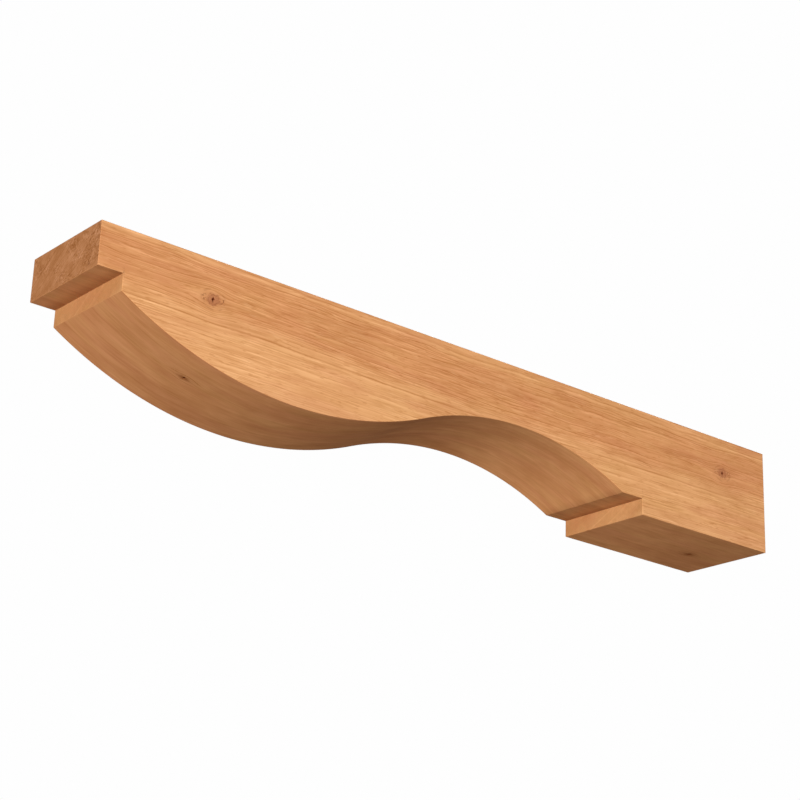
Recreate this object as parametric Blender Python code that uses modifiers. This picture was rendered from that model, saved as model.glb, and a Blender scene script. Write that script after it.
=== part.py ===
"""Ornamental rafter tail, sawn and planed from one square stick of Douglas fir.

The stick runs along X. Its wall end is at x = 0 and its nose points to -X. The straight top is
up, and the sawn profile is on the underside: a square nose, a fillet, a round belly that runs
into a long hollow, a second fillet and a square heel. The profile is the same right across the
width, so the whole piece is one outline given its thickness.

All sizes are in metres. The origin is the middle of the wall end.
"""

import math

import bmesh
import bpy

# The stick that the piece is cut from
LENGTH = 0.762
WIDTH = 0.1016
DEPTH = 0.1016

# The nose: its end face, the flat soffit behind it, and the fillet that drops to the belly
NOSE_FACE = 0.0378
NOSE_SOFFIT = 0.0229
NOSE_FILLET = 0.0146

# The belly is a round that just reaches the underside of the stick, and the hollow behind it is
# a second round that leaves this much timber above its crown
BELLY_RADIUS = 0.338
THROAT = 0.055

# The heel: the square block at the wall, its upright fillet, and the flat soffit in front of it
HEEL_LENGTH = 0.1714
HEEL_FILLET = 0.0156
HEEL_SOFFIT = 0.0255

# The outside edges are eased with a pass of sandpaper, and the inside corners are left as sawn
ARRIS = 0.0006
ARRIS_SEGMENTS = 2
ARRIS_TURN = math.radians(15)

# Length of one flat on the sawn rounds
FLAT_LENGTH = 0.008

# The outline's two faces are welded to its rim, and each is then made one whole face
WELD_DISTANCE = 0.00001
FLAT_TOLERANCE = math.radians(0.05)

FIR_COLOUR = (0.7, 0.33, 0.15, 1.0)
FIR_ROUGHNESS = 0.55
FIR_IOR = 1.5


def clear_scene():
    """Takes away whatever the scene held."""
    for obj in list(bpy.data.objects):
        bpy.data.objects.remove(obj, do_unlink=True)


def planed_fir():
    """Bare planed softwood: warm orange brown, hardly any gloss."""
    material = bpy.data.materials.new("planed_fir")
    material.use_nodes = True
    shader = material.node_tree.nodes["Principled BSDF"]
    shader.inputs["Base Color"].default_value = FIR_COLOUR
    shader.inputs["Roughness"].default_value = FIR_ROUGHNESS
    shader.inputs["Metallic"].default_value = 0.0
    shader.inputs["IOR"].default_value = FIR_IOR
    return material


def direction(centre, point):
    """Angle at which a centre sees a point."""
    return math.atan2(point[1] - centre[1], point[0] - centre[0])


def arc(centre, radius, start, end):
    """Points on a circle from one angle to another, a flat apart, both ends included."""
    flats = max(2, round(abs(end - start) * radius / FLAT_LENGTH))
    angles = [start + (end - start) * step / flats for step in range(flats + 1)]
    return [(centre[0] + radius * math.cos(a), centre[1] + radius * math.sin(a)) for a in angles]


def belly_and_hollow(start, end):
    """The two rounds, which touch where one turns into the other.

    The belly's circle passes through the start and touches the underside of the stick. The
    hollow's circle passes through the end, touches the belly's circle from below, and has its
    crown at the throat. Those three make a quadratic in how far the crown lies before the end.
    """
    belly_drop = start[1] + DEPTH
    belly_low = start[0] + math.sqrt(belly_drop * (2 * BELLY_RADIUS - belly_drop))
    belly_centre = (belly_low, BELLY_RADIUS - DEPTH)

    crown_rise = DEPTH - THROAT
    end_drop = -THROAT - end[1]
    run = end[0] - belly_low
    ratio = crown_rise / end_drop - 1
    rest = run**2 - crown_rise * (2 * BELLY_RADIUS - crown_rise + end_drop)
    reach = rest / (run + math.sqrt(run**2 + ratio * rest))
    hollow_radius = (reach**2 + end_drop**2) / (2 * end_drop)
    hollow_centre = (end[0] - reach, -THROAT - hollow_radius)

    touch = direction(belly_centre, hollow_centre)
    belly = arc(belly_centre, BELLY_RADIUS, direction(belly_centre, start), touch)
    hollow = arc(hollow_centre, hollow_radius, touch + math.pi, direction(hollow_centre, end))
    return belly + hollow[1:]


def outline():
    """The side view as (along from the nose, up from the top), once round from the nose's top."""
    curve_start = (NOSE_SOFFIT, -NOSE_FACE - NOSE_FILLET)
    heel_front = LENGTH - HEEL_LENGTH
    curve_end = (heel_front - HEEL_SOFFIT, HEEL_FILLET - DEPTH)
    return [
        (0.0, 0.0),
        (0.0, -NOSE_FACE),
        (NOSE_SOFFIT, -NOSE_FACE),
        *belly_and_hollow(curve_start, curve_end),
        (heel_front, curve_end[1]),
        (heel_front, -DEPTH),
        (LENGTH, -DEPTH),
        (LENGTH, 0.0),
    ]


def sawn_outline(collection):
    """The outline as a flat filled curve stood on edge, as thick as the stick is wide."""
    curve = bpy.data.curves.new("sawn_outline", "CURVE")
    curve.dimensions = "2D"
    curve.fill_mode = "BOTH"
    curve.extrude = WIDTH / 2
    points = outline()
    spline = curve.splines.new("POLY")
    spline.points.add(len(points) - 1)
    for point, (along, up) in zip(spline.points, points):
        point.co = (along - LENGTH, up + DEPTH / 2, 0.0, 1.0)
    spline.use_cyclic_u = True
    blank = bpy.data.objects.new("sawn_outline", curve)
    blank.rotation_euler.x = math.radians(90)
    collection.objects.link(blank)
    return blank


def rafter_tail(collection):
    """The timber: the outline made a closed mesh, with its outside edges eased."""
    blank = sawn_outline(collection)
    graph = bpy.context.evaluated_depsgraph_get()
    mesh = bpy.data.meshes.new_from_object(blank.evaluated_get(graph))
    mesh.name = "rafter_tail"
    timber = bpy.data.objects.new("rafter_tail", mesh)
    timber.matrix_world = blank.matrix_world
    collection.objects.link(timber)
    bpy.data.objects.remove(blank, do_unlink=True)

    solid = bmesh.new()
    solid.from_mesh(mesh)
    bmesh.ops.remove_doubles(solid, verts=solid.verts, dist=WELD_DISTANCE)
    bmesh.ops.dissolve_limit(
        solid, angle_limit=FLAT_TOLERANCE, verts=solid.verts, edges=solid.edges
    )
    eased = solid.edges.layers.float.new("bevel_weight_edge")
    for edge in solid.edges:
        edge[eased] = float(edge.calc_face_angle_signed() > ARRIS_TURN)
    solid.to_mesh(mesh)
    solid.free()
    mesh.materials.append(planed_fir())
    mesh.shade_smooth()
    mesh.set_sharp_from_angle(angle=ARRIS_TURN)

    arris = timber.modifiers.new("eased_arrises", "BEVEL")
    arris.limit_method = "WEIGHT"
    arris.width = ARRIS
    arris.segments = ARRIS_SEGMENTS


def main():
    clear_scene()
    collection = bpy.data.collections.new("rafter_tail")
    bpy.context.scene.collection.children.link(collection)
    rafter_tail(collection)


main()
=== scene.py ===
"""Ornamental rafter tail in planed Douglas fir.

One square stick whose underside is sawn to a nose, a small fillet, a round belly, a long hollow,
a second fillet and a square heel. It runs along X, with its wall end at x = 0, its nose towards
-X and its straight top up. Sizes are in metres unless a name says otherwise.
"""

import functools
import math
from collections import namedtuple

import bmesh
import bpy
import numpy as np
from bpy.props import FloatProperty, FloatVectorProperty, PointerProperty
from mathutils import Matrix, Vector


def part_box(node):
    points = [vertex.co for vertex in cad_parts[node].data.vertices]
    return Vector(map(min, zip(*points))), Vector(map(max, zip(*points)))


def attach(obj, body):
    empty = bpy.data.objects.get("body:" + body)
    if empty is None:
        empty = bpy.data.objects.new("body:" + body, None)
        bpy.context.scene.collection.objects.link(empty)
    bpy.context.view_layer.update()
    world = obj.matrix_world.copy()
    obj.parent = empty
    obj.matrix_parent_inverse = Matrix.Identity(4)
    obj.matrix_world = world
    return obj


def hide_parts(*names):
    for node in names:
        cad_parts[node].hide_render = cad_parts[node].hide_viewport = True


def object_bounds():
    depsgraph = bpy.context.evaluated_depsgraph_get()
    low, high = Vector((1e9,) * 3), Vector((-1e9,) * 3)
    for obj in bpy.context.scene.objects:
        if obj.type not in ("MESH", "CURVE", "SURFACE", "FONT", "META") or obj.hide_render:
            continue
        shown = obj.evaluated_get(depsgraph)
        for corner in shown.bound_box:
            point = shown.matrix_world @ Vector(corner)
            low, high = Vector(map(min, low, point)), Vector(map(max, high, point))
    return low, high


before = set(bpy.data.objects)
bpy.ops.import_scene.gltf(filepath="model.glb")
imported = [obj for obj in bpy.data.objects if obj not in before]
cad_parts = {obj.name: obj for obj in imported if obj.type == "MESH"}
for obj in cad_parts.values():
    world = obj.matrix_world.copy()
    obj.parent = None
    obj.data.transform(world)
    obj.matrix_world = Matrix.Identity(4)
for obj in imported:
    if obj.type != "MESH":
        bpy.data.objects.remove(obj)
CAD_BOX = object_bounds()
STICK_LOW, STICK_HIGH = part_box("rafter_tail")

bl_info = {
    "name": "Rafter Tail",
    "version": (1, 0, 0),
    "blender": (4, 5, 0),
    "location": "3D View > Sidebar > Rafter Tail",
    "description": "Makes a sawn rafter tail in planed Douglas fir, and a stage to see it on",
    "category": "Add Mesh",
}

# Douglas fir sends out its branches in whorls, and each branch that the saw meets is a knot. The
# stick was cut beside the pith, which runs along X at this place, so every knot points at it.
PITH = Vector((0.0, 0.174, 0.281))

# Each knot: the middle of it on its face, the face's cross direction there, how big it is, how
# clear its ring of bark is, how dark the grain round it is, and how much it is stained by resin.
# The first and third are on the side, the second is on the belly and the fourth under the heel.
ON_SIDE, UNDERNEATH = Vector((0.0, 0.0, 1.0)), Vector((0.0, 1.0, 0.0))
Knot = namedtuple("Knot", "middle cross size bark shade stain")
KNOTS = (
    Knot(Vector((-0.6560, -0.0508, 0.0163)), ON_SIDE, 1.0, 1.0, 0.55, 0.0),
    Knot(Vector((-0.6533, -0.0123, -0.0508)), UNDERNEATH, 0.76, 0.0, 0.6, 0.68),
    Knot(Vector((-0.0605, -0.0508, 0.0158)), ON_SIDE, 0.92, 0.9, 0.8, 0.1),
    Knot(Vector((-0.0472, 0.0059, -0.0508)), UNDERNEATH, 0.84, 0.0, 0.5, 0.66),
)

# Steps in which an outside edge is rounded, from one face to halfway to the next
ARRIS_STEPS = 2

# Paces between the lines of the timber's skin, on the rounds and the upright fillets, on the
# soffits, under the heel and across the stick
ROUND_PACE = 0.0028
SOFFIT_PACE = 0.0045
HEEL_PACE = 0.007
CROSS_PACE = 0.008

# The finer pace at a knot's heart, and how far from it the lines draw together
FINE_PACE, FINE_REACH = 0.0007, 0.0045

# The same three up the stick, as shares of its height
UP_PACE, UP_FINE_PACE, UP_FINE_REACH = 0.09, 0.007, 0.055

# Marks on the ruler that the paces are read from
RULER_MARKS = 4001

# How far before and after an upright fillet the skin's upright lines fan out, and by what share
# of the fillet's height they do
FAN_BEFORE, FAN_AFTER, FAN_SHARE = 0.06, 0.05, 0.3

# Half the length and half the width of the split at a knot's heart, along and across the timber
CHECK_HALF_LENGTH, CHECK_HALF_WIDTH = 0.0019, 0.0031

# Smallest turn that counts as a corner, and how near places are that are merged
CORNER_TURN = math.radians(1)
MERGE_DISTANCE = 1e-6

# How much more a large face turns the shading at its rim than a small one, 50 being evenly
FLATS_WEIGHT = 90

# The floor is far wider than the camera sees. Its paint takes a share of its colour, and a glow
# of its own keeps it pale where the lights miss it.
FLOOR_HALF_WIDTH = 20.0
FLOOR_PAINT_SHARE = 0.3
FLOOR_GLOW = 0.85
FLOOR_ROUGHNESS = 0.9

# The soft lights: the way from the middle of the timber to each, its distance, and its side
KEY_LIGHT = {"direction": (-0.62, -0.77, -0.23), "distance": 8.0, "side": 3.0}
BACK_LIGHT = {"direction": (0.62, 0.55, 0.56), "distance": 5.0, "side": 2.5}

# The camera's place, its heading, its tilt above the level and its roll, in degrees, and the
# width of its sensor in millimetres
CAMERA_PLACE = (-1.45047, -1.26879, -0.60896)
CAMERA_HEADING, CAMERA_TILT, CAMERA_ROLL = -39.029, 20.700, 2.104
SENSOR_WIDTH = 36.0


def linear(code):
    """A hex sRGB colour as linear red, green and blue.

    Each channel c is c / 12.92 up to 0.04045, and ((c + 0.055) / 1.055) ** 2.4 above it.
    """
    channels = np.array([int(code[i : i + 2], 16) for i in (1, 3, 5)]) / 255
    bright = ((channels + 0.055) / 1.055) ** 2.4
    return tuple(float(c) for c in np.where(channels <= 0.04045, channels / 12.92, bright))


def size_prop(name, description, default, **more):
    """A length that can be changed, in metres."""
    return FloatProperty(
        name=name,
        description=description,
        default=float(default),
        min=0.0,
        precision=4,
        subtype="DISTANCE",
        unit="LENGTH",
        **more,
    )


def colour_prop(name, description, code):
    """A colour that can be changed, given as sRGB hex."""
    return FloatVectorProperty(
        name=name,
        description=description,
        default=linear(code),
        size=3,
        min=0.0,
        max=1.0,
        subtype="COLOR",
    )


class RafterTailTimber(bpy.types.PropertyGroup):
    """Sizes of the sawn timber."""

    length: size_prop("Length", "Nose to wall end", STICK_HIGH.x - STICK_LOW.x)
    width: size_prop("Width", "Across the stick", STICK_HIGH.y - STICK_LOW.y)
    depth: size_prop("Depth", "Top to underside", STICK_HIGH.z - STICK_LOW.z)
    nose_face: size_prop("Nose face", "Height of the nose's end face", 0.0378)
    nose_soffit: size_prop("Nose soffit", "Flat underside behind the nose face", 0.0229)
    nose_fillet: size_prop("Nose fillet", "Small step down from the soffit to the belly", 0.0146)
    belly_radius: size_prop("Belly radius", "Radius of the round belly", 0.338)
    throat: size_prop("Throat", "Timber left above the crown of the hollow", 0.055)
    heel_length: size_prop("Heel length", "Square block at the wall", 0.1714)
    heel_fillet: size_prop("Heel fillet", "Small step down to the heel's underside", 0.0156)
    heel_soffit: size_prop("Heel soffit", "Flat in front of the heel fillet", 0.0255)
    arris: size_prop("Eased edge", "How far each outside edge is sanded back", 0.0006)
    check_depth: size_prop("Check depth", "Depth of the split at each knot's heart", 0.0011)


class RafterTailFir(bpy.types.PropertyGroup):
    """Colours and grain of the planed Douglas fir."""

    heartwood: colour_prop("Heartwood", "Redder wood, nearer the pith", "#D79764")
    sapwood: colour_prop("Sapwood", "Paler wood, further from the pith", "#E3A872")
    rosy: colour_prop("Rosy patches", "Clouds of redder wood, some 110 mm long", "#C67B58")
    golden: colour_prop("Golden patches", "Clouds of yellower wood, some 60 mm long", "#D2A063")
    latewood: colour_prop("Latewood", "Thin dark line that ends each year's ring", "#AC672E")
    # Painted highlights: pale flecks of polished fibres catching the light, and the painted light
    # low on the sides
    painted_highlight: colour_prop("Pale flecks", "Fibres that the plane has polished", "#F2BE8C")
    end_grain: colour_prop("End grain", "Open ends of the fibres, which drink the light", "#C08457")
    knot: colour_prop("Knot", "Hard wood of the branch", "#A9694A")
    knot_bark: colour_prop("Knot edge", "Dark line of bark round the branch", "#6C3518")
    knot_heart: colour_prop("Knot heart", "Split pith of the branch", "#581E05")
    resin: colour_prop("Resin stain", "Wood soaked in resin round a knot", "#84470F")
    ring_width: size_prop("Ring width", "One year's growth", 0.0024556, max=0.02)
    fibre_width: size_prop("Fibre streaks", "Width of the fine streaks", 0.0015, max=0.01)
    roughness: FloatProperty(
        name="Roughness",
        description="Roughness of the planed and sanded surface",
        default=0.55,
        min=0.0,
        max=1.0,
        subtype="FACTOR",
    )


class RafterTailStage(bpy.types.PropertyGroup):
    """The floor, the lights and the camera."""

    floor_drop: size_prop("Floor drop", "Eaves height, timber to floor", 2.4)
    floor: colour_prop("Floor", "Plain pale floor", "#F2F1EE")
    backdrop: colour_prop("Backdrop", "What the camera sees behind the timber", "#FEFEFE")
    fill: colour_prop("Fill", "Light from all round", "#FFEAD2")
    fill_level: FloatProperty(
        name="Fill level",
        description="Strength of the light from all round",
        default=0.202,
        min=0.0,
    )
    key_power: FloatProperty(
        name="Key power",
        description="Soft light beside the camera",
        default=672.0,
        min=0.0,
        unit="POWER",
    )
    rim_power: FloatProperty(
        name="Back power",
        description="Soft light behind and above, for the faces turned away",
        default=300.0,
        min=0.0,
        unit="POWER",
    )
    lens: FloatProperty(
        name="Lens", description="Focal length in millimetres", default=89.93, min=1.0
    )


class RafterTailSettings(bpy.types.PropertyGroup):
    """Everything about the rafter tail that can be changed."""

    timber: PointerProperty(type=RafterTailTimber)
    fir: PointerProperty(type=RafterTailFir)
    stage: PointerProperty(type=RafterTailStage)


# --- The timber's shape -------------------------------------------------------------------------


def paced(start, end, pace, spots=(), fine=FINE_PACE, reach=FINE_REACH):
    """Steps from start to end, about a pace apart and closer round each spot.

    The steps per metre are 1 / pace, and rise to 1 / fine round a spot as
    exp(-((distance / reach) ** 4)). Their running sum is cut into equal parts.
    """
    ruler = np.linspace(start, end, RULER_MARKS)
    near = np.zeros_like(ruler)
    for spot in spots:
        near = np.maximum(near, np.exp(-(((ruler - spot) / reach) ** 4)))
    density = 1 / pace + (1 / fine - 1 / pace) * near
    grown = (density[1:] + density[:-1]) / 2 * np.abs(np.diff(ruler))
    running = np.concatenate([[0.0], np.cumsum(grown)])
    steps = max(1, round(running[-1]))
    return np.interp(np.linspace(0, running[-1], steps + 1), running, ruler)


def rounds(size):
    """Centres and radii of the belly and the hollow, and where they touch.

    Places are along from the nose and up from the top. The belly's circle passes through the
    foot of the nose fillet and touches the underside of the stick. The hollow's circle ends at
    the heel's soffit, touches the belly's circle from below, and has its crown at the throat,
    which makes a quadratic in how far the crown lies before its end.
    """
    start = np.array([size.nose_soffit, -size.nose_face - size.nose_fillet])
    end = np.array(
        [size.length - size.heel_length - size.heel_soffit, size.heel_fillet - size.depth]
    )
    belly_drop = start[1] + size.depth
    low = start[0] + math.sqrt(belly_drop * (2 * size.belly_radius - belly_drop))
    belly = np.array([low, size.belly_radius - size.depth])

    crown_rise = size.depth - size.throat
    end_drop = -size.throat - end[1]
    run = end[0] - low
    ratio = crown_rise / end_drop - 1
    rest = run**2 - crown_rise * (2 * size.belly_radius - crown_rise + end_drop)
    reach = rest / (run + math.sqrt(run**2 + ratio * rest))
    hollow_radius = (reach**2 + end_drop**2) / (2 * end_drop)
    hollow = np.array([end[0] - reach, -size.throat - hollow_radius])
    share = size.belly_radius / (size.belly_radius + hollow_radius)
    touch = belly + (hollow - belly) * share
    return start, end, belly, hollow, hollow_radius, touch


def underside(size):
    """The sawn underside from nose to wall, as seven runs of places with their outward directions.

    Places are (along from the nose, up from the top). The runs are soffit, fillet, belly, hollow,
    soffit, fillet and heel. The belly hangs below its centre, up = centre - sqrt(R^2 - (along -
    centre)^2), and the hollow arches above its own, with a plus. Outward is down on the flats,
    towards the nose on the fillets, and along the radius on the rounds.
    """
    start, end, belly, hollow, hollow_radius, touch = rounds(size)
    front = size.length - size.heel_length
    spots = [size.length + knot.middle.x for knot in KNOTS]

    def level(first, last, up, pace):
        along = paced(first, last, pace, spots)
        places = np.stack([along, np.full_like(along, up)], axis=1)
        return places, np.tile([0.0, -1.0], (len(along), 1))

    def upright(along, first, last):
        up = paced(first, last, ROUND_PACE)
        places = np.stack([np.full_like(up, along), up], axis=1)
        return places, np.tile([-1.0, 0.0], (len(up), 1))

    def rounded(first, last, centre, radius, side):
        along = paced(first, last, ROUND_PACE, spots)
        up = centre[1] + side * np.sqrt(radius**2 - (along - centre[0]) ** 2)
        places = np.stack([along, up], axis=1)
        return places, (places - centre) * (-side / radius)

    return [
        level(0.0, start[0], -size.nose_face, SOFFIT_PACE),
        upright(start[0], -size.nose_face, start[1]),
        rounded(start[0], touch[0], belly, size.belly_radius, -1),
        rounded(touch[0], end[0], hollow, hollow_radius, 1),
        level(end[0], front, end[1], SOFFIT_PACE),
        upright(front, end[1], -size.depth),
        level(front, size.length, -size.depth, HEEL_PACE),
    ]


def columns(size):
    """Every upright line of the skin: its foot's place, inner place and outward direction.

    The inner place lies an arris radius inside the surface: place - arris * outward. At a corner
    it is place - arris * (a + b) / (1 + a . b), with a and b the directions on both sides. An
    outside corner keeps that inner place while its direction turns from a to b. An inside corner
    has the one line, whose direction is (a + b) / (1 + a . b), so it stays crisp. The first and
    last lines repeat, and lean towards the ends by -tan(45 deg * step) and its opposite.
    """
    arris = size.arris
    lean = np.tan(math.radians(45) * np.linspace(1, 0, ARRIS_STEPS + 1))
    runs = underside(size)
    places, inner, outward, crisp = [], [], [], []

    def put(place, inside, direction, sharp=False):
        direction = np.atleast_2d(direction)
        places.append(np.broadcast_to(place, direction.shape))
        inner.append(np.broadcast_to(inside, direction.shape))
        outward.append(direction)
        crisp.append(np.full(len(direction), sharp))

    first, last = runs[0][0][0], runs[-1][0][-1]
    put(first, first + arris, np.tile([0.0, -1.0], (ARRIS_STEPS + 1, 1)))
    for number, (run, faces) in enumerate(runs):
        put(run[1:-1], run[1:-1] - arris * faces[1:-1], faces[1:-1])
        if number == len(runs) - 1:
            break
        corner, a, b = run[-1], faces[-1], runs[number + 1][1][0]
        mitre = (a + b) / (1 + a @ b)
        turn = math.atan2(a[0] * b[1] - a[1] * b[0], a @ b)
        if turn > CORNER_TURN:
            steps = max(2, round(turn / math.radians(45) * ARRIS_STEPS))
            angles = math.atan2(a[1], a[0]) + turn * np.linspace(0, 1, steps + 1)
            fan = np.stack([np.cos(angles), np.sin(angles)], axis=1)
            put(corner, corner - arris * mitre, fan)
        else:
            put(corner, corner - arris * mitre, mitre, sharp=turn < -CORNER_TURN)
    put(last, last + [-arris, arris], np.tile([0.0, -1.0], (ARRIS_STEPS + 1, 1)))
    places, inner, outward = (np.concatenate(part) for part in (places, inner, outward))
    ends = np.zeros(len(places))
    ends[: ARRIS_STEPS + 1] = -lean
    ends[-ARRIS_STEPS - 1 :] = lean[::-1]
    return places, inner, outward, np.concatenate(crisp), ends


def heads(size, places):
    """How far along the top each line of the skin ends.

    It is straight above its foot, except near the two upright fillets, whose lines would all
    share one place. There they fan out, by up to a share of the fillet's height each way.
    """
    travel = np.concatenate([[0.0], np.cumsum(np.abs(np.diff(places, axis=0)).sum(axis=1))])
    along, up = places.T
    nose, heel = size.nose_soffit, size.length - size.heel_length
    marks = []
    for fillet, height, before, after in (
        (nose, size.nose_fillet, 0.0, nose + FAN_AFTER),
        (heel, size.heel_fillet, heel - FAN_BEFORE, heel + FAN_AFTER),
    ):
        on_fillet = travel[np.isclose(along, fillet)]
        for at in (np.searchsorted(along, before), np.searchsorted(along, after)):
            marks.append((travel[at], along[at]))
        marks.append((on_fillet.min(), fillet - FAN_SHARE * height))
        marks.append((on_fillet.max(), fillet + FAN_SHARE * height))

    # Each fillet has four marks. Between the two fours and past the second, lines stand straight.
    marks = np.array(sorted(marks))
    fanned = np.interp(travel, marks[:, 0], marks[:, 1])
    free = (travel > marks[3, 0]) & (travel < marks[4, 0]) | (travel > marks[7, 0])
    return np.clip(np.where(free, along, fanned), size.arris, size.length - size.arris)


def layers(start, end, pace, spots=(), **more):
    """Steps from start to end, with the first and last repeated for the rounding of the edges.

    The second row leans them outwards by tan(45 deg * step), from -1 through 0 to 1.
    """
    lean = np.tan(math.radians(45) * np.linspace(1, 0, ARRIS_STEPS + 1))[:-1]
    steps = paced(start, end, pace, spots, **more)
    repeat = np.ones(ARRIS_STEPS)
    return (
        np.concatenate([steps[0] * repeat, steps, steps[-1] * repeat]),
        np.concatenate([-lean, np.zeros(len(steps)), lean[::-1]]),
    )


def check(along, across, size, depth):
    """Depth of the split in a knot's heart, a pit with four points.

    depth * (1 - q)^0.7 where q < 1, with q = |along / half length|^0.8 + |across / half
    width|^0.8, and both halves times the knot's size.
    """
    q = np.abs(along / (CHECK_HALF_LENGTH * size)) ** 0.8
    q += np.abs(across / (CHECK_HALF_WIDTH * size)) ** 0.8
    return depth * np.clip(1 - q, 0, 1) ** 0.7


def timber_mesh(size):
    """The skin of a block of places, I along, J across and K up.

    The block is the timber drawn in by the arris radius, inner foot + (inner head - inner foot)
    * share of the height. The skin adds the radius times the direction (along, across, up) of
    each place's three leans, made one long, with the foot's own outward direction for down. So
    each outside edge is a quarter round and each corner an eighth of a ball. Only places on the
    six faces are kept. The knots' checks are pressed in along the inward direction.
    """
    places, inner, outward, crisp, along_lean = columns(size)
    head = heads(size, places)
    head[along_lean < 0], head[along_lean > 0] = size.arris, size.length - size.arris
    feet = [np.interp(size.length + knot.middle.x, *places.T) for knot in KNOTS]
    below = [knot.middle.y + size.width / 2 for knot in KNOTS if knot.cross.y]
    beside = [
        1 - (knot.middle.z - size.depth / 2) / foot
        for knot, foot in zip(KNOTS, feet)
        if knot.cross.z
    ]
    across, across_lean = layers(size.arris, size.width - size.arris, CROSS_PACE, below)
    share, up_lean = layers(0.0, 1.0, UP_PACE, beside, fine=UP_FINE_PACE, reach=UP_FINE_REACH)

    shape = (len(places), len(across), len(share))
    place = np.arange(np.prod(shape)).reshape(shape)
    faces = [
        place[:, 0, :],
        place[:, -1, :].T,
        place[:, :, 0].T,
        place[:, :, -1],
        place[0, :, :].T,
        place[-1, :, :],
    ]
    quads = np.concatenate(
        [
            np.stack([f[:-1, :-1], f[1:, :-1], f[1:, 1:], f[:-1, 1:]], axis=-1).reshape(-1, 4)
            for f in faces
        ]
    )
    kept, quads = np.unique(quads, return_inverse=True)
    quads = quads.reshape(-1, 4)
    i, j, k = np.unravel_index(kept, shape)

    lean = np.stack([along_lean[i], across_lean[j], up_lean[k]], axis=1)
    lean /= np.linalg.norm(lean, axis=1, keepdims=True)
    lift = np.where((up_lean[k] < 0)[:, None], outward[i], [0.0, 1.0]) * np.abs(lean[:, 2:])
    up = share[k]
    spots = np.stack(
        [
            inner[i, 0] + (head[i] - inner[i, 0]) * up + size.arris * (lean[:, 0] + lift[:, 0]),
            across[j] + size.arris * lean[:, 1],
            inner[i, 1] * (1 - up) - size.arris * up + size.arris * lift[:, 1],
        ],
        axis=1,
    )
    spots += [-size.length, -size.width / 2, size.depth / 2]
    for knot in KNOTS:
        away = spots - np.array(knot.middle)
        side = knot.cross.z > 0
        on_face = (j == 0) if side else (k == 0)
        pit = check(away[:, 0], away[:, 2 if side else 1], knot.size, size.check_depth) * on_face
        inward = np.stack([-outward[i, 0], np.zeros(len(i)), -outward[i, 1]], axis=1)
        spots += (np.array([[0.0, 1.0, 0.0]]) if side else inward) * pit[:, None]

    mesh = bpy.data.meshes.new("sawn_timber")
    mesh.from_pydata(spots, [], quads)
    mesh.shade_smooth()

    # The inside corners stay crisp, across the underside and over the rounded edges
    ends = np.empty(len(mesh.edges) * 2, dtype=np.int32)
    mesh.edges.foreach_get("vertices", ends)
    a, b = ends.reshape(-1, 2).T
    on_corner = crisp[i[a]] & (i[a] == i[b])
    lower = (k[a] <= ARRIS_STEPS) & (k[b] <= ARRIS_STEPS)
    on_side = (j[a] == j[b]) & ((j[a] == 0) | (j[a] == shape[1] - 1))
    under = (k[a] == 0) & (k[b] == 0)
    sharp = mesh.attributes.get("sharp_edge")
    if sharp is None:
        sharp = mesh.attributes.new("sharp_edge", "BOOLEAN", "EDGE")
    sharp.data.foreach_set("value", on_corner & (under | lower & on_side))

    # An outside corner's lines share one place on the sides and the top
    skin = bmesh.new()
    skin.from_mesh(mesh)
    bmesh.ops.remove_doubles(skin, verts=skin.verts, dist=MERGE_DISTANCE)
    skin.to_mesh(mesh)
    skin.free()
    return mesh


# --- Planed Douglas fir -------------------------------------------------------------------------

# The nodes that have one main setting, and its name. In a call of add it follows their kind.
MAIN_SETTING = {
    "Math": "operation",
    "VectorMath": "operation",
    "MapRange": "interpolation_type",
    "Mix": "data_type",
}

# A smooth ramp from one value to another
RAMP = "MapRange SMOOTHSTEP"


def add(tree, kind, *values, named=None, **settings):
    """Adds a node with its settings and links, and returns its first output in use.

    The kind is the node's own name, with its main setting after a space if it has one. A value
    is a plain one or another node's output. The values go to the inputs in use, in order, and
    those in named to the inputs of those names.
    """
    name, _, main_setting = kind.partition(" ")
    node = tree.nodes.new(name if name.startswith("NodeGroup") else "ShaderNode" + name)
    if main_setting:
        settings[MAIN_SETTING[name]] = main_setting
    for setting, value in settings.items():
        setattr(node, setting, value)
    given = list(zip([socket for socket in node.inputs if socket.enabled], values))
    given += [(node.inputs[key], value) for key, value in (named or {}).items()]
    for socket, value in given:
        if isinstance(value, bpy.types.NodeSocket):
            tree.links.new(value, socket)
        else:
            socket.default_value = value
    return next((socket for socket in node.outputs if socket.enabled), None)


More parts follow.
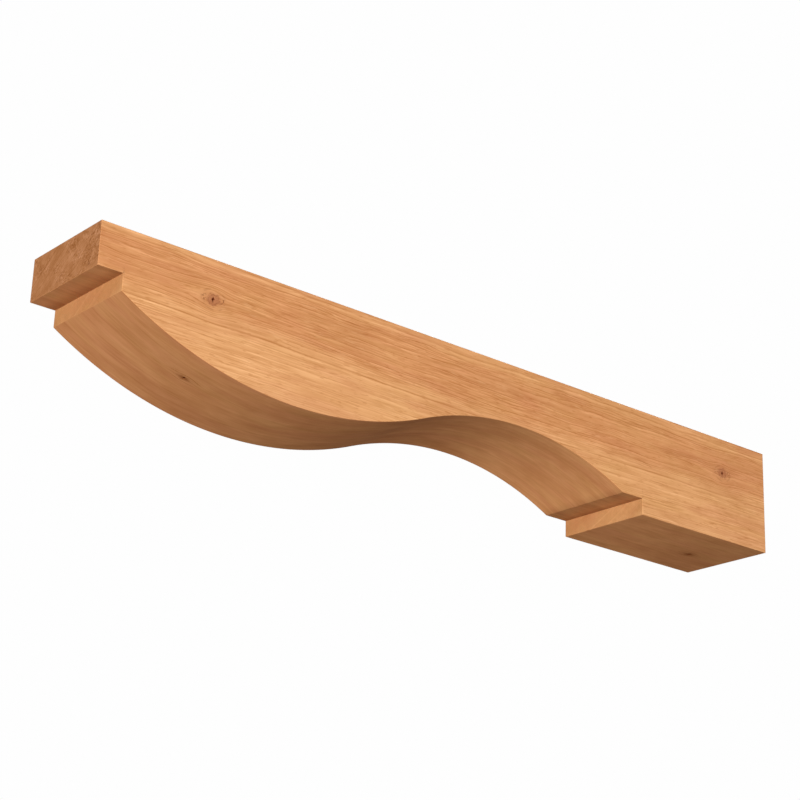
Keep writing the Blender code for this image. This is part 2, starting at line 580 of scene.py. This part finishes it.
def knot_group():
    """One knot: how it turns the grain aside, and how far each point is from its middle.

    x runs along the timber from the knot's middle, and w across it, square to the branch, both in
    millimetres over the knot's size. The grain is moved across by -0.7 w exp(-(x/15)^2 -
    (w/11)^2) times the size, so its lines swell round the knot. Away is sqrt(x^2 + (1.15 w)^2)
    and Shade is exp(-(x/13)^2 - (w/6)^2), both at a place that strays by up to 1.8 mm, in lumps
    of some 5 mm. Heart is |x/1.75|^0.8 + |w/2.8|^0.8, so the split has four points, at a place
    that strays by three tenths of that. Along and Across are x and w.
    """
    group = bpy.data.node_groups.new("fir_knot", "ShaderNodeTree")
    node = functools.partial(add, group)
    for way, kind, names in (
        ("INPUT", "Vector", ("Point", "Middle", "Square to branch", "Face cross")),
        ("INPUT", "Float", ("Size",)),
        ("OUTPUT", "Vector", ("Grain shift",)),
        ("OUTPUT", "Float", ("Away", "Heart", "Shade", "Along", "Across")),
    ):
        for name in names:
            group.interface.new_socket(name, in_out=way, socket_type="NodeSocket" + kind)
    given = node("NodeGroupInput").node.outputs

    def bell(x, w, x_size, w_size):
        """exp(-(x / x_size)^2 - (w / w_size)^2)."""
        u = node("Math POWER", node("Math DIVIDE", x, x_size), 2.0)
        v = node("Math POWER", node("Math DIVIDE", w, w_size), 2.0)
        return node("Math EXPONENT", node("Math MULTIPLY", node("Math ADD", u, v), -1.0))

    clean = node("VectorMath SUBTRACT", given["Point"], given["Middle"])
    stray = node("TexNoise", given["Point"], 210.0, 2.0, 0.6).node.outputs["Color"]
    stray = node("VectorMath MULTIPLY_ADD", stray, (0.0036,) * 3, (-0.0018,) * 3)
    strayed = node("VectorMath ADD", clean, stray)
    measure = node("Math DIVIDE", 1000.0, given["Size"])
    parts = []
    for source in (clean, strayed):
        x = node("SeparateXYZ", source)
        w = node("VectorMath DOT_PRODUCT", source, given["Square to branch"])
        parts.append((node("Math MULTIPLY", x, measure), node("Math MULTIPLY", w, measure)))
    (x, w), (stray_x, stray_w) = parts

    swell = node("Math MULTIPLY", node("Math MULTIPLY", bell(x, w, 15.0, 11.0), w), -0.0007)
    swell = node("Math MULTIPLY", swell, given["Size"])
    reach = node("CombineXYZ", stray_x, node("Math MULTIPLY", stray_w, 1.15))
    points = []
    for there, astray, half in ((x, stray_x, 1.75), (w, stray_w, 2.8)):
        nudge = node("Math MULTIPLY", node("Math SUBTRACT", astray, there), 0.3)
        points.append(node("Math DIVIDE", node("Math ADD", there, nudge), half))
    points = [node("Math POWER", node("Math ABSOLUTE", point), 0.8) for point in points]
    node(
        "NodeGroupOutput",
        node("VectorMath SCALE", given["Face cross"], swell),
        node("VectorMath LENGTH", reach),
        node("Math ADD", *points),
        bell(stray_x, stray_w, 13.0, 6.0),
        x,
        w,
    )
    return group


def planed_douglas_fir(fir, timber):
    """Douglas fir, thicknessed and planed, and sanded on the sawn curve.

    To the eye: warm orange brown, in long nearly straight lines of dark latewood with paler wood
    between, over a fine broken streak of fibres. Bare and only just satin. The ends show the same
    rings cut across, darker and speckled, because open fibres let the light in.
    """
    material = bpy.data.materials.new("planed_douglas_fir")
    material.use_nodes = True
    tree = material.node_tree
    tree.nodes.clear()
    node = functools.partial(add, tree)

    def window(value, rise, top, end, fall):
        """1 from top to end, and 0 before rise and past fall: one smooth ramp times another."""
        falling = node(RAMP, value, end, fall, 1.0, 0.0)
        return node("Math MULTIPLY", node(RAMP, value, rise, top), falling)

    def clouds(vector, lump, detail=2.0, rough=0.5, seed=0.0):
        """Noise whose lumps are as long, wide and high as given, in millimetres."""
        scale = tuple(1000 / side for side in lump)
        stretched = node("Mapping", vector, (seed, seed, seed), (0.0, 0.0, 0.0), scale)
        return node("TexNoise", stretched, 1.0, detail, rough)

    def deepened(value, green=1.42, blue=1.95):
        """Darker wood is redder too: red falls as the value, green and blue as its powers."""
        green, blue = (node("Math POWER", value, power) for power in (green, blue))
        return node("CombineColor", value, green, blue)

    # Every face that looks down takes the depth of the stick's underside, so that the lines
    # follow the sawn curve instead of crossing it
    coordinates = node("TexCoord").node.outputs
    along, across, up = node("SeparateXYZ", coordinates["Object"]).node.outputs
    facing = node("SeparateXYZ", coordinates["Normal"]).node.outputs
    looks_down = node(RAMP, facing["Z"], -0.75, -0.40, 1.0, 0.0)
    cut_across = node(RAMP, node("Math ABSOLUTE", facing["X"]), 0.62, 0.85)
    level = node("Mix FLOAT", looks_down, up, STICK_LOW.z)
    place = node("CombineXYZ", along, across, level)

    # The four knots turn the grain aside. From the middle outwards, in millimetres over the
    # knot's size, each has its branch, which fades from 4.2 to 8.2, its ring of bark round 5.5,
    # drops of resin at its two ends from 6 to 11.5, and an oval hoop of dark grain from 7.4 to
    # 9.8. The two on the underside have a stain of resin instead, which fades from 1.8 to 8, and
    # all four shade the grain round them.
    group = knot_group()
    grain = place
    heart, shade, stain = 99.0, 0.0, 0.0
    marks = dict.fromkeys(("bark", "branch", "tips", "hoops"), 0.0)
    for knot in KNOTS:
        toward = (knot.middle - PITH) * Vector((0, 1, 1))
        square = Vector((0, toward.z, -toward.y))
        square = square / knot.cross.dot(square)
        made = node("Group", place, knot.middle, square, knot.cross, knot.size, node_tree=group)
        got = made.node.outputs
        grain = node("VectorMath ADD", grain, got["Grain shift"])
        heart = node("Math MINIMUM", heart, got["Heart"])
        shade = node("Math ADD", shade, node("Math MULTIPLY", got["Shade"], knot.shade))

        beside = node(RAMP, node("Math ABSOLUTE", got["Across"]), 1.5, 5.0, 1.0, 0.0)
        tips = window(node("Math ABSOLUTE", got["Along"]), 6.0, 7.5, 9.5, 11.5)
        oval = node("Math POWER", node("Math DIVIDE", got["Along"], 1.35), 2.0)
        oval = node("Math MULTIPLY_ADD", got["Across"], got["Across"], oval)
        for name, mask in (
            ("bark", window(got["Away"], 4.2, 5.5, 5.5, 6.8)),
            ("branch", node(RAMP, got["Away"], 4.2, 8.2, 1.0, 0.0)),
            ("tips", node("Math MULTIPLY", tips, beside)),
            ("hoops", window(node("Math SQRT", oval), 7.4, 8.4, 8.6, 9.8)),
        ):
            marks[name] = node("Math MULTIPLY_ADD", mask, knot.bark, marks[name])
        smudge = node("Math MULTIPLY", node(RAMP, got["Shade"], 0.30, 0.95), 0.35)
        near = node(RAMP, got["Away"], 1.8, 8.0, 1.0, 0.0)
        smudge = node("Math MULTIPLY_ADD", near, 0.65, smudge)
        stain = node("Math MULTIPLY_ADD", smudge, knot.stain, stain)

    # The stem wasn't quite straight: its grain wanders by up to 2.25 mm either way in a third of
    # a metre, and by up to 1.3 mm in 55 mm, times an unrest of 0.6 in the lower half, of 1.7 in
    # the upper half, where the whorls of branches are, and of 1.6 on faces that look down
    unrest = node("Math ADD", node(RAMP, level, -0.006, 0.014, 0.6, 1.7), looks_down)
    for lump, sway, seed in (((330, 60, 60), 0.0045, 0.0), ((55, 11, 11), 0.0026, 7.0)):
        drift = clouds(place, lump, detail=1.0, seed=seed).node.outputs["Color"]
        offset = (0.0, -sway / 2, -sway / 2)
        drift = node("VectorMath MULTIPLY_ADD", drift, (0.0, sway, sway), offset)
        grain = node("VectorMath ADD", grain, node("VectorMath SCALE", drift, unrest))

    # Rings: the distance from the pith, counted in years. The stem tapers towards the nose by
    # 15.6 mm a metre over its first 300 mm. The years grow wider and narrower by a sine, whose
    # slope is the growth
    square = node("VectorMath MULTIPLY", node("VectorMath SUBTRACT", grain, PITH), (0.0, 1.0, 1.0))
    from_nose = node("Math SUBTRACT", along, STICK_LOW.x)
    taper = node("Math MULTIPLY", node("Math SMOOTH_MIN", from_nose, 0.30, 0.12), 0.0156)
    radius = node("Math SUBTRACT", node("VectorMath LENGTH", square), taper)
    years = node("Math MULTIPLY_ADD", radius, 1 / fir.ring_width, 0.1644)
    turn = node("Math MULTIPLY_ADD", years, 1.1791, 5.8245)
    growth = node("Math MULTIPLY_ADD", node("Math COSINE", turn), 0.828, 1.0)
    growth = node("Math MINIMUM", node("Math MAXIMUM", growth, 0.3), 1.0)
    years = node("Math MULTIPLY_ADD", node("Math SINE", turn), 0.7022, years)
    season = node("Math FRACT", years)
    to_winter = node("Math DIVIDE", node("Math SUBTRACT", 1.0, season), growth)
    late = window(to_winter, 0.0, 0.06, 0.07, 0.40)
    early = window(season, 0.0, 0.06, 0.08, 0.40)

    # Each year's dark line has its own strength, 0.42 + 0.32 f^1.4 with f the fraction of 0.618
    # times the year's number. It fades to 0.3 of that here and there, in lumps 80 mm long, and to
    # 0.5 in the lower half of the stick. Faces that look down have 0.52 of the rest away from the
    # knots and 3 times as much round them, and the ends have 0.05.
    vigour = node("Math MULTIPLY_ADD", node("Math FLOOR", years), 0.618034, 0.7373)
    vigour = node("Math POWER", node("Math FRACT", vigour), 1.4)
    vigour = node("Math MULTIPLY_ADD", vigour, 0.32, 0.42)
    fading = clouds(grain, (80, 5, 5), detail=3.0, rough=0.60)
    fading = node(RAMP, fading, 0.36, 0.60, 0.30, 1.0)
    near_knot = node(RAMP, shade, 0.01, 0.12)
    line = node("Math MULTIPLY", node("Math MULTIPLY", late, vigour), fading)
    for strength in (
        node("Mix FLOAT", looks_down, 1.0, node("Mix FLOAT", near_knot, 0.52, 3.0)),
        node(RAMP, level, -0.020, 0.005, 0.50, 1.0),
        node("Math MULTIPLY_ADD", cut_across, -0.95, 1.0),
    ):
        line = node("Math MULTIPLY", line, strength)

    # Streaks of fibres 30 mm long, in bands 3 mm wide and 72 mm long, with dark resin ducts 9 mm
    # long and painted highlights, pale flecks 13 mm long where polished fibres catch the light,
    # among them, both 1 mm wide, and soft patches 110 mm and 40 mm long
    width = fir.fibre_width * 1000
    bands = clouds(grain, (72, 3.0, 3.0), detail=3.0, rough=0.52, seed=3.0)
    fibres = clouds(grain, (30, width, width), detail=3.0, rough=0.60, seed=5.0)
    patches = clouds(grain, (110, 16, 16), detail=2.0, seed=11.0)
    mottle = clouds(grain, (40, 14, 14), detail=2.0, rough=0.6, seed=19.0)
    ducts = clouds(grain, (9.0, 1.0, 1.0), detail=1.0, seed=13.0)
    ducts = node(RAMP, ducts, 0.60, 0.72)
    # Painted highlights: pale flecks where polished fibres catch the light
    painted_glints = clouds(grain, (13.0, 1.0, 1.0), detail=1.0, seed=17.0)
    painted_glints = node(RAMP, painted_glints, 0.58, 0.72)

    # Heartwood turns to sapwood some 354 mm from the pith. The years within 325 mm are half as
    # pale, and past 384 mm, low on the stick, painted light makes the wood paler. Faces that look
    # down are heartwood throughout.
    looks_out = node("Math SUBTRACT", 1.0, looks_down)
    ragged = node("Math MULTIPLY_ADD", patches, 0.010, radius)
    inner_years = node(RAMP, radius, 0.3225, 0.3275, 0.55, 0.0)
    sapwood = node("Math MAXIMUM", node(RAMP, ragged, 0.3530, 0.3650), inner_years)
    sapwood = node("Math MULTIPLY", sapwood, looks_out)
    colour = node("Mix RGBA", sapwood, (*fir.heartwood, 1.0), (*fir.sapwood, 1.0))
    golden = clouds(grain, (60, 20, 20), detail=2.0, seed=43.0)
    golden = node(RAMP, golden, 0.46, 0.66, 0.0, 0.19)
    # Painted light: low on the sides and ends, past 384 mm from the pith, the wood is paler
    painted_low_light = node(RAMP, radius, 0.384, 0.400, 0.0, 0.18)
    for tint, share in (
        (fir.rosy, node("Math MULTIPLY", node(RAMP, patches, 0.42, 0.64), 0.26)),
        (fir.golden, node("Math MULTIPLY_ADD", cut_across, 0.20, golden)),
        (fir.painted_highlight, node("Math MULTIPLY", painted_low_light, looks_out)),
    ):
        colour = node("Mix RGBA", share, colour, (*tint, 1.0))

    # The bands, the shorter patches, the fibres and each year's pale early wood make it lighter
    # and darker. The fibres are clearer in some lumps 60 mm long than in others, and faint on
    # the sanded curve and on the ends.
    calm = clouds(grain, (60, 11, 11), detail=1.0, seed=41.0)
    calm = node(RAMP, calm, 0.38, 0.62, 0.20, 0.86)
    calm = node("Math MULTIPLY", calm, node("Math MULTIPLY_ADD", looks_down, -0.73, 1.0))
    calm = node("Math MULTIPLY", calm, node("Math MULTIPLY_ADD", cut_across, -0.70, 1.0))
    banding = node("Mix FLOAT", looks_down, 0.40, 0.24)
    banding = node("Math MULTIPLY_ADD", cut_across, -0.25, banding)
    tone, *others = (
        node("Math MULTIPLY_ADD", node("Math SUBTRACT", noise, 0.5), strength, 1.0)
        for noise, strength in (
            (bands, banding),
            (mottle, node("Mix FLOAT", looks_down, 0.21, 0.44)),
            (fibres, calm),
        )
    )
    pale = node("Math MULTIPLY_ADD", early, node("Mix FLOAT", looks_down, 0.08, 0.03), 1.0)
    for other in (*others, pale):
        tone = node("Math MULTIPLY", tone, other)
    colour = node("Mix RGBA", 1.0, colour, deepened(tone), blend_type="MULTIPLY")
    clear = node("Math MAXIMUM", looks_down, cut_across)
    clear = node("Mix FLOAT", clear, 1.0, 0.35)
    # The dark lines and ducts, and the painted highlights of polished fibres, the last two fainter
    # on the curve and the ends
    for tint, share in (
        (fir.latewood, node("Math MULTIPLY", line, 0.92, use_clamp=True)),
        (fir.latewood, node("Math MULTIPLY", node("Math MULTIPLY", ducts, clear), 0.34)),
        (fir.painted_highlight, node("Math MULTIPLY", node("Math MULTIPLY", painted_glints, clear), 0.24)),
    ):
        colour = node("Mix RGBA", share, colour, (*tint, 1.0))

    # Of the faces that look down, the heel's soffit is darker, the 14 mm before each of the two
    # inside corners are darkened as painted shade, the heel has painted shade that deepens towards
    # the wall, and the end of the hollow is a little paler
    heel_front = timber.length - timber.heel_length
    hollow_end = heel_front - timber.heel_soffit
    on_soffit = (hollow_end - 0.0091, hollow_end + 0.0029)
    # The heel's soffit is darker, up to the front of the heel
    soffit = node("Math MULTIPLY", node(RAMP, from_nose, *on_soffit), looks_down)
    past = node(RAMP, from_nose, heel_front - 0.0026, heel_front + 0.0009, 0.14, 0.0)
    soffit = node("Math MULTIPLY", soffit, past)
    # Painted shade on the heel's underside, deepening towards the wall
    heel = node("Math MULTIPLY", node(RAMP, from_nose, 0.62, 0.75, 0.0, 0.15), looks_down)
    painted_shade_and_tone = node("Math MAXIMUM", soffit, heel)
    flat = node("CombineXYZ", along, 0.0, up)
    for corner_x, corner_z in (
        (STICK_LOW.x + timber.nose_soffit, STICK_HIGH.z - timber.nose_face),
        (STICK_HIGH.x - timber.heel_length, STICK_LOW.z + timber.heel_fillet),
    ):
        # Painted shade in each inside corner, darkest in the corner and gone 14 mm out
        corner_shade = node("VectorMath DISTANCE", flat, (corner_x, 0.0, corner_z))
        corner_shade = node("Math MULTIPLY", node(RAMP, corner_shade, 0.0, 0.014, 0.36, 0.0), looks_down)
        painted_shade_and_tone = node("Math MAXIMUM", painted_shade_and_tone, corner_shade)
    # The end of the hollow is a little paler
    paler_hollow_end = node("Math MULTIPLY", window(from_nose, 0.42, 0.52, *on_soffit), looks_down)
    painted_shade_and_tone = node("Math MULTIPLY_ADD", paler_hollow_end, -0.10, painted_shade_and_tone)
    # The painted shade and the darker soffit make the wood darker and redder
    painted_shade_and_tone = deepened(node("Math SUBTRACT", 1.0, painted_shade_and_tone), 1.1, 1.2)
    colour = node("Mix RGBA", 1.0, colour, painted_shade_and_tone, blend_type="MULTIPLY")

    # Knots: a warm shade in the grain, then the branch, its stain, its bark, the hoop and the
    # drops of resin, all broken up, and its split heart
    drops = clouds(place, (1.9, 1.2, 1.2), detail=1.0, seed=23.0)
    drops = node("Math MULTIPLY", node(RAMP, drops, 0.56, 0.63), marks["tips"])
    grit = clouds(place, (1.8, 1.3, 1.3), detail=1.0, seed=27.0)
    branch = node("Math MULTIPLY", marks["branch"], node("Math ADD", grit, 0.5))
    broken = clouds(place, (7.0, 5.0, 5.0), detail=2.0, seed=25.0)
    hoops = node("Math MULTIPLY", marks["hoops"], node(RAMP, broken, 0.46, 0.60))
    bark = node("Math MULTIPLY", marks["bark"], node(RAMP, grit, 0.40, 0.60))
    for tint, mask, most in (
        (fir.knot, shade, 0.50),
        (fir.knot, branch, 0.52),
        (fir.resin, stain, 0.90),
        (fir.knot_bark, bark, 0.34),
        (fir.knot_bark, hoops, 0.20),
        (fir.knot_bark, drops, 0.62),
    ):
        share = node("Math MULTIPLY", mask, most, use_clamp=True)
        colour = node("Mix RGBA", share, colour, (*tint, 1.0))
    split = node(RAMP, heart, 0.62, 1.30, 1.0, 0.0)
    colour = node("Mix RGBA", split, colour, (*fir.knot_heart, 1.0))

    # The two sawn ends: rings and fibre ends cut square across, torn by the saw at 35 degrees,
    # and more so towards the side that has the knots. The fillets have a tenth of it.
    half = (STICK_HIGH.x - STICK_LOW.x) / 2
    from_middle = node("Math SUBTRACT", along, (STICK_LOW.x + STICK_HIGH.x) / 2)
    from_middle = node("Math ABSOLUTE", from_middle)
    at_end = node(RAMP, from_middle, half - 0.0007, half - 0.0001, 0.10, 1.0)
    at_end = node("Math MULTIPLY", at_end, cut_across)
    turned = node("Mapping", place, (0.0, 0.0, 0.0), (math.radians(35), 0.0, 0.0))
    pores = clouds(turned, (8.0, 2.4, 1.1), detail=3.0, rough=0.65, seed=29.0)
    torn = clouds(place, (30.0, 9.0, 9.0), detail=2.0, seed=31.0)
    specks = clouds(turned, (4.0, 2.8, 0.9), detail=1.0, seed=37.0)
    specks = node(RAMP, specks, 0.57, 0.68)
    rough_cut = clouds(place, (60.0, 17.0, 13.0), detail=1.0, seed=33.0)
    rough_cut = node("Math MULTIPLY_ADD", across, -2.2, rough_cut)
    rough_cut = node(RAMP, rough_cut, 0.42, 0.60, 0.25, 1.6)
    cut = node("Math MULTIPLY_ADD", node("Math SUBTRACT", pores, 0.5), rough_cut, 1.0)
    cut = node("Math MULTIPLY", cut, node("Math MULTIPLY_ADD", torn, 0.60, 0.70))
    cut = node("Math MULTIPLY", cut, node("Math MULTIPLY_ADD", late, -0.22, 1.05))
    cut = deepened(cut, 1.4, 2.2)
    end_colour = node("Mix RGBA", 1.0, (*fir.end_grain, 1.0), cut, blend_type="MULTIPLY")
    specks = node("Math MULTIPLY", specks, rough_cut)
    specks = node("Math MULTIPLY", specks, 0.24, use_clamp=True)
    end_colour = node("Mix RGBA", specks, end_colour, (*fir.knot_bark, 1.0))
    colour = node("Mix RGBA", at_end, colour, end_colour)

    # The fibres are rougher than the wood between them. They stand up by a few hundredths of a
    # millimetre, and so do the hard dark lines and the torn ends.
    roughness = node("Math MULTIPLY_ADD", fibres, 0.16, fir.roughness - 0.08)
    roughness = node("Math MULTIPLY_ADD", at_end, 0.15, roughness, use_clamp=True)
    relief = node("Math MULTIPLY_ADD", line, 0.5, fibres)
    relief = node("Math MULTIPLY_ADD", node("Math MULTIPLY", pores, at_end), 1.2, relief)
    bump = node("Bump", named={"Height": relief, "Strength": 0.35, "Distance": 0.00025})
    surface = {
        "Base Color": colour,
        "Roughness": roughness,
        "IOR": 1.5,
        "Specular IOR Level": 0.05,
        "Normal": bump,
    }
    node("OutputMaterial", node("BsdfPrincipled", named=surface))
    return material


# --- The operators ------------------------------------------------------------------------------


class RAFTERTAIL_OT_timber(bpy.types.Operator):
    """Make the sawn timber: the stick with its sawn underside, its eased edges and its knots"""

    bl_idname = "rafter_tail.timber"
    bl_label = "Sawn Timber"
    bl_options = {"REGISTER", "UNDO"}

    def execute(self, context):
        settings = context.scene.rafter_tail
        size = settings.timber
        if size.nose_face + size.nose_fillet >= size.depth or size.throat >= size.depth:
            raise ValueError("the nose and the throat must be shallower than the stick")
        mesh = timber_mesh(size)
        mesh.materials.append(planed_douglas_fir(settings.fir, size))
        timber = bpy.data.objects.new("sawn_timber", mesh)
        context.scene.collection.objects.link(timber)
        flats = timber.modifiers.new("true_flats", "WEIGHTED_NORMAL")
        flats.mode = "FACE_AREA"
        flats.weight = FLATS_WEIGHT
        flats.keep_sharp = True
        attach(timber, "root")
        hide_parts("rafter_tail")
        return {"FINISHED"}


class RAFTERTAIL_OT_stage(bpy.types.Operator):
    """Make the stage: a pale floor, soft lights, a plain backdrop and the camera"""

    bl_idname = "rafter_tail.stage"
    bl_label = "Studio Stage"
    bl_options = {"REGISTER", "UNDO"}

    def execute(self, context):
        scene = context.scene
        stage = scene.rafter_tail.stage
        lay_floor(scene, stage)
        hang_light(scene, "key_light", stage.key_power, **KEY_LIGHT)
        hang_light(scene, "back_light", stage.rim_power, **BACK_LIGHT)
        paint_backdrop(scene, stage)
        place_camera(scene, stage)
        return {"FINISHED"}


def lay_floor(scene, stage):
    """A flat square, x and y from -1 to 1 times its half width, at eaves height below."""
    corners = np.array([[-1, -1], [1, -1], [1, 1], [-1, 1]]) * FLOOR_HALF_WIDTH
    places = np.column_stack([corners, np.full(4, -stage.floor_drop)])
    mesh = bpy.data.meshes.new("pale_floor")
    mesh.from_pydata(places, [], [(0, 1, 2, 3)])
    material = bpy.data.materials.new("matt_floor_paint")
    material.use_nodes = True
    shader = material.node_tree.nodes["Principled BSDF"]
    paint = (FLOOR_PAINT_SHARE * channel for channel in stage.floor)
    shader.inputs["Base Color"].default_value = (*paint, 1.0)
    shader.inputs["Roughness"].default_value = FLOOR_ROUGHNESS
    shader.inputs["Emission Color"].default_value = (*stage.floor, 1.0)
    shader.inputs["Emission Strength"].default_value = FLOOR_GLOW
    mesh.materials.append(material)
    floor = bpy.data.objects.new("pale_floor", mesh)
    # It only backs the timber: it neither throws light up nor stops the light from below
    floor.visible_diffuse = floor.visible_glossy = floor.visible_shadow = False
    scene.collection.objects.link(floor)


def hang_light(scene, name, power, direction, distance, side):
    """A square soft light, out from the middle of the timber and facing it, and itself unseen."""
    light = bpy.data.lights.new(name, "AREA")
    light.shape = "SQUARE"
    light.size = side
    light.energy = power
    lamp = bpy.data.objects.new(name, light)
    outward = Vector(direction).normalized()
    lamp.location = (CAD_BOX[0] + CAD_BOX[1]) / 2 + outward * distance
    lamp.rotation_euler = (-outward).to_track_quat("-Z", "Y").to_euler()
    lamp.visible_camera = False
    scene.collection.objects.link(lamp)


def paint_backdrop(scene, stage):
    """Near white behind the timber, and a weaker warm light from all round on it."""
    world = bpy.data.worlds.new("studio")
    world.use_nodes = True
    tree = world.node_tree
    tree.nodes.clear()
    seen = add(tree, "Background", (*stage.backdrop, 1.0))
    lit = add(tree, "Background", (*stage.fill, 1.0), stage.fill_level)
    to_camera = add(tree, "LightPath").node.outputs["Is Camera Ray"]
    add(tree, "OutputWorld", add(tree, "MixShader", to_camera, lit, seen))
    scene.world = world
    scene.view_settings.view_transform = "Standard"


def place_camera(scene, stage):
    """Below and in front of the nose, looking up along the timber, and rolled a little."""
    lens = bpy.data.cameras.new("camera")
    lens.sensor_width = SENSOR_WIDTH
    lens.lens = stage.lens
    camera = bpy.data.objects.new("camera", lens)
    camera.matrix_world = (
        Matrix.Translation(CAMERA_PLACE)
        @ Matrix.Rotation(math.radians(CAMERA_HEADING), 4, "Z")
        @ Matrix.Rotation(math.radians(90 + CAMERA_TILT), 4, "X")
        @ Matrix.Rotation(math.radians(CAMERA_ROLL), 4, "Z")
    )
    scene.collection.objects.link(camera)
    scene.camera = camera


class RAFTERTAIL_PT_sidebar(bpy.types.Panel):
    """Lists the rafter tail's settings and makers"""

    bl_idname = "RAFTERTAIL_PT_sidebar"
    bl_label = "Rafter Tail"
    bl_space_type = "VIEW_3D"
    bl_region_type = "UI"
    bl_category = "Rafter Tail"

    def draw(self, context):
        settings = context.scene.rafter_tail
        for title, group, maker in (
            ("Timber", settings.timber, RAFTERTAIL_OT_timber.bl_idname),
            ("Douglas fir", settings.fir, None),
            ("Stage", settings.stage, RAFTERTAIL_OT_stage.bl_idname),
        ):
            box = self.layout.box()
            box.label(text=title)
            for name in group.__annotations__:
                box.prop(group, name)
            if maker:
                box.operator(maker)


CLASSES = (
    RafterTailTimber,
    RafterTailFir,
    RafterTailStage,
    RafterTailSettings,
    RAFTERTAIL_OT_timber,
    RAFTERTAIL_OT_stage,
    RAFTERTAIL_PT_sidebar,
)


def register():
    """Adds the classes and the scene's settings."""
    for made in CLASSES:
        bpy.utils.register_class(made)
    bpy.types.Scene.rafter_tail = PointerProperty(type=RafterTailSettings)


def unregister():
    """Takes away the scene's settings and the classes."""
    del bpy.types.Scene.rafter_tail
    for made in reversed(CLASSES):
        bpy.utils.unregister_class(made)


def main():
    """Makes the timber and the stage."""
    register()
    bpy.ops.rafter_tail.timber()
    bpy.ops.rafter_tail.stage()


if __name__ == "__main__":
    main()
